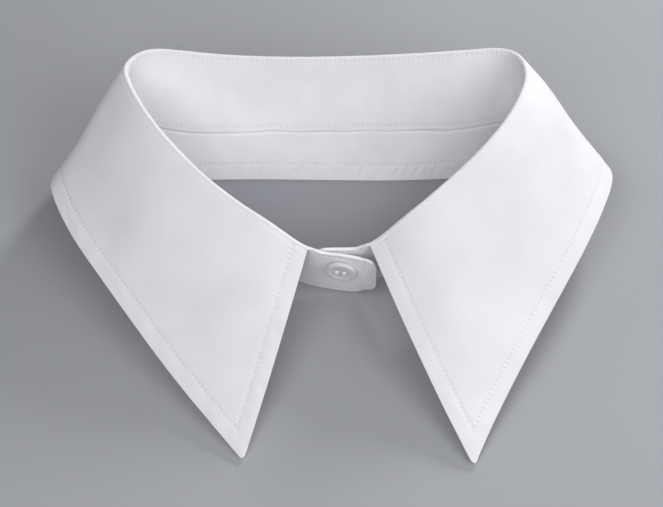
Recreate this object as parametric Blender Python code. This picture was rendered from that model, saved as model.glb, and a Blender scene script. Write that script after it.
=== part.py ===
"""A pointed shirt collar that is sewn into a garment, buttoned and standing on a flat surface.

The band goes round the neck and leans back behind it. The leaf starts 0.3 mm above the band's top
edge, rolls over and falls outside it, to two points that rest on the surface. A strip of tape hangs
under the band, and the whole collar stands on it. X points to the right, Y to the back and Z up.
The origin is the middle of the strip's lower edge at the centre of the back.
"""

import math
from collections import namedtuple

import bmesh
import bpy
import numpy as np
from mathutils import Matrix, Vector

METRE = 0.001  # every length below is in millimetres

# Cloth thickness and the gap that sewn pieces keep
LEAF_WALL = 1.4
BAND_WALL = 1.6
STRIP_WALL = 1.2
SEAM_GAP = 0.3

# The roll, where the leaf turns over
ROLL_RADIUS = 1.5
LEAF_RISE = 0.4

# The band's depth at the back and at the front, and where it starts to narrow
BAND_BACK_DEPTH = 28.2
BAND_FRONT_DEPTH = 24.3
BAND_NARROWS_FROM = 70.0
TAB_CORNER = 8.0

# The strip ends this far round from the centre of the back
STRIP_END = 146.0

# How finely the pieces are divided
ROUND_STEP = 6.0
ROLL_STEPS = 5
FALL_STEPS = 6
BAND_STEPS = 4
STRIP_STEPS = 3

# Button
BUTTON_DIAMETER = 11.5
BUTTON_THICKNESS = 1.8
BUTTON_DISH = 0.5
BUTTON_RIM = 1.5
BUTTON_EDGE_RADIUS = 0.6
BUTTON_HOLE = 1.6
BUTTON_HOLE_SPACING = 2.7
BUTTON_FROM_TAB_END = 12.5
BUTTON_BELOW_BAND_TOP = 8.8
BUTTON_SEGMENTS = 36

# Sections round the collar, from the end of the picture's left tab, round the back, to the other
# tab's end. axis is the middle of the roll, over which the leaf turns; on the tabs it runs on level.
# foot is where the band's slope, carried on down, meets the surface.
Section = namedtuple("Section", "axis_x axis_y axis_z foot_x foot_y")
SECTIONS = [
    Section(16.6, -55.8, 28.2, 16.6, -54.2),
    Section(4.1, -53.2, 28.8, 4.1, -51.8),
    Section(-8.2, -51.0, 29.4, -8.4, -49.6),
    Section(-18.8, -45.9, 33.9, -21.0, -48.0),
    Section(-32.3, -38.5, 38.9, -41.0, -49.0),
    Section(-49.4, -26.1, 44.3, -62.5, -39.0),
    Section(-65.8, -8.6, 48.8, -78.0, -18.0),
    Section(-77.0, 11.0, 50.2, -87.5, -1.0),
    Section(-78.2, 17.2, 49.9, -85.5, 4.5),
    Section(-73.2, 24.0, 49.4, -80.0, 6.4),
    Section(-66.4, 26.6, 48.2, -71.0, 3.8),
    Section(-57.4, 26.8, 46.8, -60.5, 0.8),
    Section(-45.8, 26.2, 45.7, -46.0, 0.2),
    Section(0.0, 25.8, 44.3, 0.0, 0.0),
    Section(45.9, 27.3, 45.7, 46.0, 0.6),
    Section(58.2, 27.6, 46.8, 60.5, 3.0),
    Section(66.6, 26.8, 48.2, 71.0, 7.4),
    Section(72.0, 23.6, 49.4, 79.5, 9.0),
    Section(75.1, 15.2, 49.9, 84.5, 3.5),
    Section(73.6, 7.0, 50.2, 84.5, -4.0),
    Section(60.3, -15.4, 48.8, 73.0, -26.0),
    Section(44.6, -30.5, 44.3, 58.0, -43.0),
    Section(28.1, -43.1, 38.4, 37.0, -54.0),
    Section(21.8, -46.5, 33.9, 23.5, -50.0),
    Section(15.0, -49.3, 29.4, 15.2, -48.2),
    Section(4.1, -48.8, 29.6, 4.1, -47.4),
    Section(-6.0, -48.4, 29.6, -6.0, -47.2),
]
LEFT_LEAF_END = 2
RIGHT_LEAF_END = 24
CENTRE_BACK = 13

# The leaf's outer edge at the sections that it covers. crown lifts the cloth near the roll and dish
# sinks it near the edge, both square to the slope.
Edge = namedtuple("Edge", "edge_x edge_y edge_z crown dish")
EDGES = [
    Edge(-31.6, -121.8, 0.6, 1.0, 0.6),
    Edge(-41.6, -110.9, 3.3, 1.4, 1.0),
    Edge(-55.1, -95.3, 7.1, 2.2, 1.6),
    Edge(-72.3, -73.6, 12.3, 3.0, 2.2),
    Edge(-90.5, -49.0, 17.1, 3.2, 2.4),
    Edge(-105.2, -24.5, 19.7, 2.6, 2.0),
    Edge(-108.4, -14.6, 19.4, 2.0, 1.4),
    Edge(-104.3, 0.5, 12.5, 1.0, 0.4),
    Edge(-93.0, 17.5, 4.5, 0.6, 0.0),
    Edge(-75.5, 32.0, 0.8, 0.6, 0.0),
    Edge(-53.0, 38.0, 0.2, 0.6, 0.0),
    Edge(0.0, 39.6, 0.2, 0.6, 0.0),
    Edge(53.0, 39.4, 0.2, 0.6, 0.0),
    Edge(76.0, 33.5, 0.8, 0.6, 0.0),
    Edge(95.0, 18.5, 5.5, 0.6, 0.0),
    Edge(106.1, 2.0, 14.0, 1.0, 0.4),
    Edge(110.0, -11.5, 19.2, 2.0, 1.4),
    Edge(106.6, -22.6, 20.0, 2.6, 2.0),
    Edge(90.5, -54.4, 16.4, 3.2, 2.4),
    Edge(75.3, -80.8, 11.0, 3.0, 2.2),
    Edge(61.4, -105.7, 5.2, 2.0, 1.6),
    Edge(56.7, -114.7, 2.9, 1.4, 1.0),
    Edge(52.0, -123.0, 0.6, 1.0, 0.6),
]

UP = np.array([0.0, 0.0, 1.0])


def column(rows, *names):
    """The named columns of a table as an array, one row for each section."""
    return np.array([[getattr(row, name) for name in names] for row in rows])


def smooth_curve(knots, values):
    """A natural cubic spline through the values, as a function of the distance round the collar."""
    gaps = np.diff(knots)
    slopes = np.diff(values, axis=0) / gaps[:, None]
    count = len(knots)
    system = np.eye(count)
    right = np.zeros(values.shape)
    for i in range(1, count - 1):
        system[i, i - 1:i + 2] = gaps[i - 1], 2.0 * (gaps[i - 1] + gaps[i]), gaps[i]
        right[i] = 6.0 * (slopes[i] - slopes[i - 1])
    bends = np.linalg.solve(system, right)

    def at(distance):
        i = int(np.clip(np.searchsorted(knots, distance) - 1, 0, count - 2))
        ahead = (distance - knots[i]) / gaps[i]
        behind = 1.0 - ahead
        curve = behind * values[i] + ahead * values[i + 1]
        bend = (behind ** 3 - behind) * bends[i] + (ahead ** 3 - ahead) * bends[i + 1]
        return curve + bend * gaps[i] ** 2 / 6.0

    return at


def distances_round():
    """Each section's distance from the centre of the back, along the roll; left is negative."""
    steps = np.linalg.norm(np.diff(column(SECTIONS, "axis_x", "axis_y", "axis_z"), axis=0), axis=1)
    along = np.concatenate([[0.0], np.cumsum(steps)])
    return along - along[CENTRE_BACK]


KNOTS = distances_round()
LEAF_KNOTS = KNOTS[LEFT_LEAF_END:RIGHT_LEAF_END + 1]
axis_at = smooth_curve(KNOTS, column(SECTIONS, "axis_x", "axis_y", "axis_z"))
foot_at = smooth_curve(KNOTS, column(SECTIONS, "foot_x", "foot_y"))
edge_at = smooth_curve(LEAF_KNOTS, column(EDGES, "edge_x", "edge_y", "edge_z", "crown", "dish"))


def outward_at(distance):
    """The level direction out of the collar, square to the roll."""
    reach = 0.5
    along = axis_at(distance + reach) - axis_at(distance - reach)
    out = np.array([-along[1], along[0], 0.0])
    return out / np.linalg.norm(out)


def stations(knots, first, last):
    """Distances from first to last, closer together where the sections are."""
    inside = [knot for knot in knots if first < knot < last]
    ends = [first] + inside + [last]
    places = [first]
    for start, stop in zip(ends, ends[1:]):
        parts = max(1, math.ceil((stop - start) / ROUND_STEP))
        places += [start + (stop - start) * part / parts for part in range(1, parts + 1)]
    return places


def band_line(distance):
    """Where the band's slope leaves the roll, its lean, and its direction down to the foot."""
    axis = axis_at(distance)
    out = outward_at(distance)
    foot = np.append(foot_at(distance), 0.0)
    lean = math.atan2(np.dot(axis - foot, out), axis[2])
    start = axis + ROLL_RADIUS * (math.sin(lean) * UP - math.cos(lean) * out)
    down = foot - start
    return start, lean, down / np.linalg.norm(down), foot


def band_depth(distance):
    """The band's depth, which narrows smoothly from the back to the tabs."""
    share = (abs(distance) - BAND_NARROWS_FROM) / (LEAF_KNOTS[-1] - BAND_NARROWS_FROM)
    share = min(max(share, 0.0), 1.0)
    return BAND_BACK_DEPTH + (BAND_FRONT_DEPTH - BAND_BACK_DEPTH) * share * share * (3.0 - 2.0 * share)


def corner_trim(from_end):
    """How much a tab's rounded corner takes off its top and its bottom."""
    if from_end >= TAB_CORNER:
        return 0.0
    return TAB_CORNER - math.sqrt(TAB_CORNER ** 2 - (TAB_CORNER - from_end) ** 2)


def leaf_section(distance):
    """The leaf's middle line: up from the band, over the roll and down to its outer edge."""
    start, lean, down, _ = band_line(distance)
    axis = axis_at(distance)
    out = outward_at(distance)
    values = edge_at(distance)
    edge = values[:3]
    crown, dish = values[3], values[4]
    fall = edge - axis
    length = np.linalg.norm(fall)
    slope = math.atan2(-fall[2], np.dot(fall, out))
    leaving = slope - math.atan(3.0 * crown / length)
    points = [start + down * LEAF_RISE]
    first_angle = math.pi - lean
    last_angle = math.pi / 2.0 - leaving
    for step in range(ROLL_STEPS + 1):
        angle = first_angle + (last_angle - first_angle) * step / ROLL_STEPS
        points.append(axis + ROLL_RADIUS * (math.cos(angle) * out + math.sin(angle) * UP))
    top = points[-1]
    square = math.sin(slope) * out + math.cos(slope) * UP
    upper = top + (edge - top) / 3.0 + crown * square
    lower = top + (edge - top) * 2.0 / 3.0 - dish * square
    for step in range(1, FALL_STEPS + 1):
        part = step / FALL_STEPS
        rest = 1.0 - part
        points.append(rest ** 3 * top + 3.0 * rest ** 2 * part * upper
                      + 3.0 * rest * part ** 2 * lower + part ** 3 * edge)
    return points


def band_section(distance):
    """The band's middle line, from its top edge to its bottom edge."""
    start, _, down, _ = band_line(distance)
    trim = corner_trim(min(distance - KNOTS[0], KNOTS[-1] - distance))
    top = LEAF_RISE + SEAM_GAP + trim
    bottom = LEAF_RISE + SEAM_GAP + band_depth(distance) - trim
    return [start + down * (top + (bottom - top) * step / BAND_STEPS) for step in range(BAND_STEPS + 1)]


def strip_section(distance):
    """The strip's middle line, from just under the band to the surface."""
    start, _, down, foot = band_line(distance)
    top = start + down * (LEAF_RISE + band_depth(distance) + 2.0 * SEAM_GAP)
    return [top + (foot - top) * step / STRIP_STEPS for step in range(STRIP_STEPS + 1)]


def cloth_material(name, colour, roughness):
    """A plain Principled material."""
    material = bpy.data.materials.new(name)
    material.use_nodes = True
    shader = material.node_tree.nodes["Principled BSDF"]
    shader.inputs["Base Color"].default_value = (*colour, 1.0)
    shader.inputs["Roughness"].default_value = roughness
    shader.inputs["Metallic"].default_value = 0.0
    return material


def add_object(name, bm, material):
    """An object made from the bmesh, shaded smooth with sharp edges kept."""
    bmesh.ops.recalc_face_normals(bm, faces=bm.faces[:])
    mesh = bpy.data.meshes.new(name)
    bm.to_mesh(mesh)
    bm.free()
    mesh.shade_smooth()
    mesh.set_sharp_from_angle(angle=math.radians(40.0))
    mesh.materials.append(material)
    obj = bpy.data.objects.new(name, mesh)
    bpy.context.scene.collection.objects.link(obj)
    return obj


def cloth_wall(name, sections, thickness, material, stands=False):
    """A closed wall of even thickness about the sections' middle lines, cut flat at the surface."""
    middle = np.array(sections)
    across = np.cross(np.gradient(middle, axis=0), np.gradient(middle, axis=1))
    across *= thickness / np.linalg.norm(across, axis=2)[:, :, None]
    bm = bmesh.new()
    layer = bm.verts.layers.float_vector.new("across")
    rows, lines = middle.shape[:2]
    grid = []
    for row in range(rows):
        for line in range(lines):
            vert = bm.verts.new((middle[row, line] - across[row, line] / 2.0) * METRE)
            vert[layer] = Vector(across[row, line] * METRE)
            grid.append(vert)
    for row in range(rows - 1):
        for line in range(lines - 1):
            corner = row * lines + line
            bm.faces.new([grid[corner], grid[corner + lines], grid[corner + lines + 1], grid[corner + 1]])
    extruded = bmesh.ops.extrude_face_region(bm, geom=bm.faces[:])
    moved = [item for item in extruded["geom"] if isinstance(item, bmesh.types.BMVert)]
    for vert in moved:
        vert.co += vert[layer]
    lowest = STRIP_WALL * METRE / 2.0 if stands else 0.0
    for vert in bm.verts:
        if vert.co.z < lowest:
            vert.co.z = 0.0
    return add_object(name, bm, material)


def make_leaf(material):
    """The leaf, from one front edge round the back to the other."""
    places = stations(LEAF_KNOTS, LEAF_KNOTS[0], LEAF_KNOTS[-1])
    return cloth_wall("collar_leaf", [leaf_section(place) for place in places], LEAF_WALL, material)


def make_band(material):
    """The band with its two rounded tabs, the left one in front of the other."""
    near_end = [0.0, 0.5, 1.6, 3.2, 5.4]
    first, last = KNOTS[0], KNOTS[-1]
    places = [first + step for step in near_end]
    places += stations(KNOTS, first + TAB_CORNER, last - TAB_CORNER)
    places += [last - step for step in reversed(near_end)]
    return cloth_wall("collar_stand", [band_section(place) for place in places], BAND_WALL, material)


def make_strip(material):
    """The strip of tape under the band, which stands on the surface all along."""
    places = stations(KNOTS, -STRIP_END, STRIP_END)
    sections = [strip_section(place) for place in places]
    return cloth_wall("neck_strip", sections, STRIP_WALL, material, stands=True)


def button_profile():
    """Half of the button's section, from the middle of its back to the middle of its front."""
    radius = BUTTON_DIAMETER / 2.0
    edge = BUTTON_EDGE_RADIUS
    dish_radius = radius - BUTTON_RIM
    points = [(0.0, 0.0), (radius - edge, 0.0)]
    for centre_height, first in ((edge, -90.0), (BUTTON_THICKNESS - edge, 0.0)):
        for turn in (30.0, 60.0, 90.0):
            angle = math.radians(first + turn)
            points.append((radius - edge + edge * math.cos(angle), centre_height + edge * math.sin(angle)))
    points.append((dish_radius, BUTTON_THICKNESS))
    points.append((dish_radius - BUTTON_DISH, BUTTON_THICKNESS - BUTTON_DISH))
    points.append((0.0, BUTTON_THICKNESS - BUTTON_DISH))
    return points


def make_button(material):
    """A four-hole button, seated on the front of the left tab over the buttonhole."""
    bm = bmesh.new()
    verts = [bm.verts.new((x * METRE, 0.0, z * METRE)) for x, z in button_profile()]
    edges = [bm.edges.new(pair) for pair in zip(verts, verts[1:])]
    bmesh.ops.spin(bm, geom=verts + edges, axis=(0.0, 0.0, 1.0), cent=(0.0, 0.0, 0.0),
                   angle=2.0 * math.pi, steps=BUTTON_SEGMENTS)
    bmesh.ops.remove_doubles(bm, verts=bm.verts[:], dist=0.00001)
    button = add_object("button", bm, material)

    distance = KNOTS[0] + BUTTON_FROM_TAB_END
    start, _, down, _ = band_line(distance)
    out = outward_at(distance)
    front = np.cross(np.cross(down, out), down)
    front /= np.linalg.norm(front)
    seat = start + down * BUTTON_BELOW_BAND_TOP + front * (BAND_WALL / 2.0 + SEAM_GAP)
    along = np.cross(front, down)
    turn = Matrix((Vector(along), Vector(-down), Vector(front))).transposed().to_4x4()
    button.matrix_world = Matrix.Translation(Vector(seat * METRE)) @ turn

    half = BUTTON_HOLE_SPACING / 2.0
    for number, (x, y) in enumerate(((-half, -half), (half, -half), (half, half), (-half, half))):
        bm = bmesh.new()
        bmesh.ops.create_cone(bm, cap_ends=True, segments=12, radius1=BUTTON_HOLE * METRE / 2.0,
                              radius2=BUTTON_HOLE * METRE / 2.0, depth=4.0 * BUTTON_THICKNESS * METRE)
        cutter = add_object("button_hole_cutter_%d" % number, bm, material)
        cutter.matrix_world = button.matrix_world @ Matrix.Translation((x * METRE, y * METRE, 0.0))
        cutter.hide_render = True
        cutter.display_type = "WIRE"
        cut = button.modifiers.new("hole_%d" % number, "BOOLEAN")
        cut.operation = "DIFFERENCE"
        cut.solver = "EXACT"
        cut.object = cutter
    return button


def main():
    """Clears the scene and makes the four pieces."""
    for obj in list(bpy.data.objects):
        bpy.data.objects.remove(obj, do_unlink=True)
    cotton = cloth_material("white_cotton", (0.86, 0.86, 0.87), 0.85)
    tape = cloth_material("white_tape", (0.85, 0.85, 0.86), 0.9)
    resin = cloth_material("white_button", (0.84, 0.84, 0.86), 0.35)
    make_leaf(cotton)
    make_band(cotton)
    make_strip(tape)
    make_button(resin)


main()
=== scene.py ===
import math
from collections import namedtuple

import bmesh
import bpy
import numpy as np
from mathutils import Matrix, Vector
from mathutils.kdtree import KDTree


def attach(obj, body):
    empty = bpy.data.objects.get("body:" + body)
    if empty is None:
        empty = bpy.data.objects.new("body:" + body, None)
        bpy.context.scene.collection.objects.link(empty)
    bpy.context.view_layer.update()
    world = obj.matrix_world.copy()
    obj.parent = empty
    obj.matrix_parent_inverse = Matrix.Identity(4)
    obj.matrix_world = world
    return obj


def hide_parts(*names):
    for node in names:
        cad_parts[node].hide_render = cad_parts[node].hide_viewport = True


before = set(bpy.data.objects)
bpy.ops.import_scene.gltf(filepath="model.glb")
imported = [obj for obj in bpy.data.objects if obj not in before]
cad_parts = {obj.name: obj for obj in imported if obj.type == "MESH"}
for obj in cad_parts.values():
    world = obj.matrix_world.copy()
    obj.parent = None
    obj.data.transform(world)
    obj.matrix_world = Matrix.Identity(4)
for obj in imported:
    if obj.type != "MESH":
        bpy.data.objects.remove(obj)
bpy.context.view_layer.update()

# White shirt collar, buttoned and standing on a table. Lengths are in millimetres; mm turns them
# into the frame's metres. u is the way round the collar from the centre of the back (left is
# negative) and s is the way down the cloth, so (u, s) is a place on a piece, as on its paper pattern.
mm = 0.001
up = np.array([0.0, 0.0, 1.0])


stitch = {
    "pitch": 1.9,
    "length": 1.4,
    "width": 0.42,
    "height": 0.24,
    "feltWithin": 9.0,    # the cloth's materials read no distance greater than this
}


# Camera, light and table
Lamp = namedtuple("Lamp", "name place size watts")
studio = {
    "cameraPlace": (0.6, -342.5, 534.1),
    "cameraLooksAt": (0.6, -43.8, 16.7),
    "lens": 85.0,
    "lamps": [
        Lamp("backLamp", (340.0, 549.0, 327.0), 150.0, 3.4),
        Lamp("rightLamp", (498.0, -327.0, 492.0), 600.0, 3.1),
        Lamp("frontLamp", (-215.0, -413.0, 624.0), 600.0, 2.9),
    ],
    "lampsLookAt": (0.0, -40.0, 10.0),
    "lampColour": (1.0, 0.997, 1.0),
    "skyColour": (0.93, 0.96, 1.0),
    "skyStrength": 0.11,
    "tableColour": (0.350, 0.360, 0.388),
    "tableSize": 7000.0,
}


def aim(obj, place, target):
    obj.location = Vector(place) * mm
    obj.rotation_euler = (Vector(target) - Vector(place)).to_track_quat("-Z", "Y").to_euler()


def setUpStudio():
    scene = bpy.context.scene
    scene.view_settings.view_transform = "Standard"
    lensData = bpy.data.cameras.new("camera")
    lensData.lens = studio["lens"]
    lensData.sensor_width = 36.0
    camera = bpy.data.objects.new("camera", lensData)
    aim(camera, studio["cameraPlace"], studio["cameraLooksAt"])
    scene.collection.objects.link(camera)
    scene.camera = camera

    for lamp in studio["lamps"]:
        lampData = bpy.data.lights.new(lamp.name, "AREA")
        lampData.shape = "SQUARE"
        lampData.size = lamp.size * mm
        lampData.energy = lamp.watts
        lampData.color = studio["lampColour"]
        light = bpy.data.objects.new(lamp.name, lampData)
        aim(light, lamp.place, studio["lampsLookAt"])
        scene.collection.objects.link(light)

    world = bpy.data.worlds.new("softSky")
    world.use_nodes = True
    sky = world.node_tree.nodes["Background"]
    sky.inputs["Color"].default_value = (*studio["skyColour"], 1.0)
    sky.inputs["Strength"].default_value = studio["skyStrength"]
    scene.world = world

    bm = bmesh.new()
    bmesh.ops.create_grid(bm, x_segments=1, y_segments=1, size=studio["tableSize"] * mm / 2.0)
    mesh = bpy.data.meshes.new("tableTop")
    bm.to_mesh(mesh)
    bm.free()
    tableTop = bpy.data.objects.new("tableTop", mesh)
    scene.collection.objects.link(tableTop)
    mesh.materials.append(tablePaint())


# Materials
def newMaterial(name, colour, roughness):
    material = bpy.data.materials.new(name)
    material.use_nodes = True
    shader = material.node_tree.nodes["Principled BSDF"]
    shader.inputs["Base Color"].default_value = (*colour, 1.0)
    shader.inputs["Roughness"].default_value = roughness
    return material, shader, material.node_tree.nodes, material.node_tree.links


def bump(nodes, links, height, strength, distance, under=None):
    # raises the surface by the distance in millimetres, on top of another bump if there is one
    node = nodes.new("ShaderNodeBump")
    node.inputs["Strength"].default_value = strength
    node.inputs["Distance"].default_value = distance * mm
    links.new(height, node.inputs["Height"])
    if under is not None:
        links.new(under, node.inputs["Normal"])
    return node.outputs["Normal"]


def tintedNoise(nodes, links, coords, scale, detail, colours, shader):
    noise = nodes.new("ShaderNodeTexNoise")
    noise.inputs["Scale"].default_value = scale
    noise.inputs["Detail"].default_value = detail
    links.new(coords, noise.inputs["Vector"])
    ramp = nodes.new("ShaderNodeValToRGB")
    ramp.color_ramp.elements[0].position = 0.3
    ramp.color_ramp.elements[1].position = 0.7
    ramp.color_ramp.elements[0].color = (*colours[0], 1.0)
    ramp.color_ramp.elements[1].color = (*colours[1], 1.0)
    links.new(noise.outputs["Fac"], ramp.inputs["Fac"])
    links.new(ramp.outputs["Color"], shader.inputs["Base Color"])
    return noise


def tablePaint():
    material, shader, nodes, links = newMaterial("tablePaint", studio["tableColour"], 0.8)
    coords = nodes.new("ShaderNodeTexCoord").outputs["Object"]
    paler = tuple(1.03 * part for part in studio["tableColour"])
    tintedNoise(nodes, links, coords, 6.0, 3.0, (studio["tableColour"], paler), shader)
    return material


cotton = {
    "shadeDark": (0.802, 0.794, 0.824),
    "shadeLight": (0.852, 0.844, 0.872),
    "shadeScale": 60.0,          # per metre
    "threadsPerMetre": 3400.0,   # 34 threads to the centimetre
    "weaveDepth": 0.03,
    "crinkleScale": 260.0,       # per metre
    "crinkleDepth": 0.05,
    "roughness": 0.88,
    "sheen": 0.12,
    "needleHole": 0.38,          # radius of the dent at each end of a stitch, in millimetres
    "needleDepth": 0.09,
    "needlePaintedShade": 0.045,        # painted shade: how much darker the colour is made in each needle hole
    "seamWidth": 0.75,           # the cloth dips this far to each side of a row of stitches
    "seamDepth": 0.06,
    # painted shade: how much darker the colour is made along the row's dip
    "seamPaintedShade": 0.02,
    "drawnReach": 1.5,           # each stitch draws the cloth up this far to each side
    "drawnHeight": 0.024,
}


def reckon(nodes, links, operation, *values):
    node = nodes.new("ShaderNodeMath")
    node.operation = operation
    for socket, value in zip(node.inputs, values):
        if isinstance(value, float):
            socket.default_value = value
        else:
            links.new(value, socket)
    return node.outputs["Value"]


def dents(nodes, links):
    # dents where the needle went in, a dip along the row, and cloth drawn up between the dents; the
    # sewing map holds the distance from the row in millimetres and the count of stitches along it
    sewing = nodes.new("ShaderNodeUVMap")
    sewing.uv_map = "sewing"
    parts = nodes.new("ShaderNodeSeparateXYZ")
    links.new(sewing.outputs["UV"], parts.inputs["Vector"])
    across = reckon(nodes, links, "POWER", parts.outputs["X"], 2.0)
    alongSeam = reckon(nodes, links, "PINGPONG", parts.outputs["Y"], 0.5)
    along = reckon(nodes, links, "MULTIPLY", alongSeam, stitch["pitch"])
    along = reckon(nodes, links, "POWER", along, 2.0)
    both = reckon(nodes, links, "ADD", across, along)
    holes = reckon(nodes, links, "MULTIPLY", both, -1.0 / cotton["needleHole"] ** 2)
    holes = reckon(nodes, links, "EXPONENT", holes)
    dip = reckon(nodes, links, "MULTIPLY", across, -1.0 / cotton["seamWidth"] ** 2)
    dip = reckon(nodes, links, "EXPONENT", dip)
    turns = reckon(nodes, links, "MULTIPLY", parts.outputs["Y"], 2.0 * math.pi)
    drawn = reckon(nodes, links, "COSINE", turns)
    fading = reckon(nodes, links, "MULTIPLY", across, -1.0 / cotton["drawnReach"] ** 2)
    fading = reckon(nodes, links, "EXPONENT", fading)
    drawn = reckon(nodes, links, "MULTIPLY", drawn, fading)
    return holes, dip, drawn


def poplin():
    material, shader, nodes, links = newMaterial("whitePoplin", cotton["shadeLight"], cotton["roughness"])
    shader.inputs["Sheen Weight"].default_value = cotton["sheen"]
    shader.inputs["Sheen Roughness"].default_value = 0.6
    shader.inputs["Specular IOR Level"].default_value = 0.25
    coords = nodes.new("ShaderNodeTexCoord")
    tintedNoise(nodes, links, coords.outputs["Object"], cotton["shadeScale"], 4.0,
                (cotton["shadeDark"], cotton["shadeLight"]), shader)
    holes, dip, drawn = dents(nodes, links)
    # painted shade: the base colour is darkened in the needle holes and along the dip of each row, for the
    # shade that falls in these dents
    paintedShade = reckon(nodes, links, "MULTIPLY", holes, -cotton["needlePaintedShade"])
    paintedShade = reckon(nodes, links, "MULTIPLY_ADD", dip, -cotton["seamPaintedShade"], paintedShade)
    paintedShade = reckon(nodes, links, "ADD", paintedShade, 1.0)
    tint = nodes.new("ShaderNodeVectorMath")
    tint.operation = "SCALE"
    links.new(shader.inputs["Base Color"].links[0].from_socket, tint.inputs["Vector"])
    links.new(paintedShade, tint.inputs["Scale"])
    links.new(tint.outputs["Vector"], shader.inputs["Base Color"])
    depth = reckon(nodes, links, "MULTIPLY", holes, -cotton["needleDepth"])
    depth = reckon(nodes, links, "MULTIPLY_ADD", dip, -cotton["seamDepth"], depth)
    depth = reckon(nodes, links, "MULTIPLY_ADD", drawn, -cotton["drawnHeight"], depth)
    seamNormal = bump(nodes, links, depth, 1.0, 1.0)

    # warp and weft follow the pattern piece, crinkles don't
    pattern = nodes.new("ShaderNodeUVMap")
    pattern.uv_map = "pattern"
    threads = []
    for direction in ("X", "Y"):
        wave = nodes.new("ShaderNodeTexWave")
        wave.wave_type = "BANDS"
        wave.bands_direction = direction
        wave.inputs["Scale"].default_value = cotton["threadsPerMetre"] / 20.0 * math.pi
        wave.inputs["Distortion"].default_value = 0.6
        links.new(pattern.outputs["UV"], wave.inputs["Vector"])
        threads.append(wave.outputs["Fac"])
    weave = reckon(nodes, links, "MAXIMUM", *threads)
    weaveNormal = bump(nodes, links, weave, 0.35, cotton["weaveDepth"], seamNormal)

    crinkle = nodes.new("ShaderNodeTexNoise")
    crinkle.inputs["Scale"].default_value = cotton["crinkleScale"]
    crinkle.inputs["Detail"].default_value = 3.0
    links.new(coords.outputs["Object"], crinkle.inputs["Vector"])
    normal = bump(nodes, links, crinkle.outputs["Fac"], 0.5, cotton["crinkleDepth"], weaveNormal)
    links.new(normal, shader.inputs["Normal"])
    return material


thread = {
    "colour": (0.87, 0.87, 0.87),
    "tints": ((0.82, 0.82, 0.82), (0.90, 0.90, 0.90)),
    "tintScale": 2500.0,         # per metre
    "detail": 2.0,
    "roughness": 0.6,
    "relief": 0.4,
}
resin = {
    "colour": (0.72, 0.72, 0.74),
    "tints": ((0.69, 0.69, 0.71), (0.73, 0.73, 0.75)),
    "tintScale": 220.0,
    "detail": 4.0,
    "roughness": 0.5,
    "relief": 0.1,
}


def cloudyMaterial(name, finish):
    # cloudy between two tints, with a very fine relief
    material, shader, nodes, links = newMaterial(name, finish["colour"], finish["roughness"])
    coords = nodes.new("ShaderNodeTexCoord").outputs["Object"]
    cloud = tintedNoise(nodes, links, coords, finish["tintScale"], finish["detail"], finish["tints"], shader)
    normal = bump(nodes, links, cloud.outputs["Fac"], finish["relief"], 0.05)
    links.new(normal, shader.inputs["Normal"])
    return material


# The collar's line. axis is the middle of the roll, over which the leaf turns; foot is where the
# stand's slope, carried on down, meets the table. One row for each section, from the end of the
# left tab round the back to the end of the right tab.
Section = namedtuple("Section", "axisX axisY axisZ footX footY")
sections = [
    Section(17.5, -56.0, 28.1, 17.5, -54.4),
    Section(4.1, -53.2, 28.8, 4.1, -51.8),
    Section(-8.2, -51.0, 29.4, -8.4, -49.6),
    Section(-18.8, -45.9, 33.9, -21.0, -48.0),
    Section(-32.3, -38.5, 38.9, -41.0, -49.0),
    Section(-49.4, -26.1, 44.3, -62.5, -39.0),
    Section(-65.8, -8.6, 48.8, -78.0, -18.0),
    Section(-77.0, 11.0, 50.2, -87.5, -1.0),
    Section(-78.2, 17.2, 49.9, -85.5, 4.5),
    Section(-73.2, 24.0, 49.4, -80.0, 6.4),
    Section(-66.4, 26.6, 48.2, -71.0, 3.8),
    Section(-57.4, 26.8, 46.8, -60.5, 0.8),
    Section(-45.8, 26.2, 45.7, -46.0, 0.2),
    Section(0.0, 25.8, 44.3, 0.0, 0.0),
    Section(45.9, 27.3, 45.7, 46.0, 0.6),
    Section(58.2, 27.6, 46.8, 60.5, 3.0),
    Section(66.6, 26.8, 48.2, 71.0, 7.4),
    Section(72.0, 23.6, 49.4, 79.5, 9.0),
    Section(75.1, 15.2, 49.9, 84.5, 3.5),
    Section(73.6, 7.0, 50.2, 84.5, -4.0),
    Section(60.3, -15.4, 48.8, 73.0, -26.0),
    Section(44.6, -30.5, 44.3, 58.0, -43.0),
    Section(28.1, -43.1, 38.4, 37.0, -54.0),
    Section(21.8, -46.5, 33.9, 23.5, -50.0),
    Section(15.0, -49.3, 29.4, 15.2, -48.2),
    Section(4.1, -49.9, 27.7, 4.1, -48.8),
    Section(-6.0, -49.9, 27.4, -6.0, -48.9),
]
leftLeafEnd = 2
rightLeafEnd = 24
centreBack = 13

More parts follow.
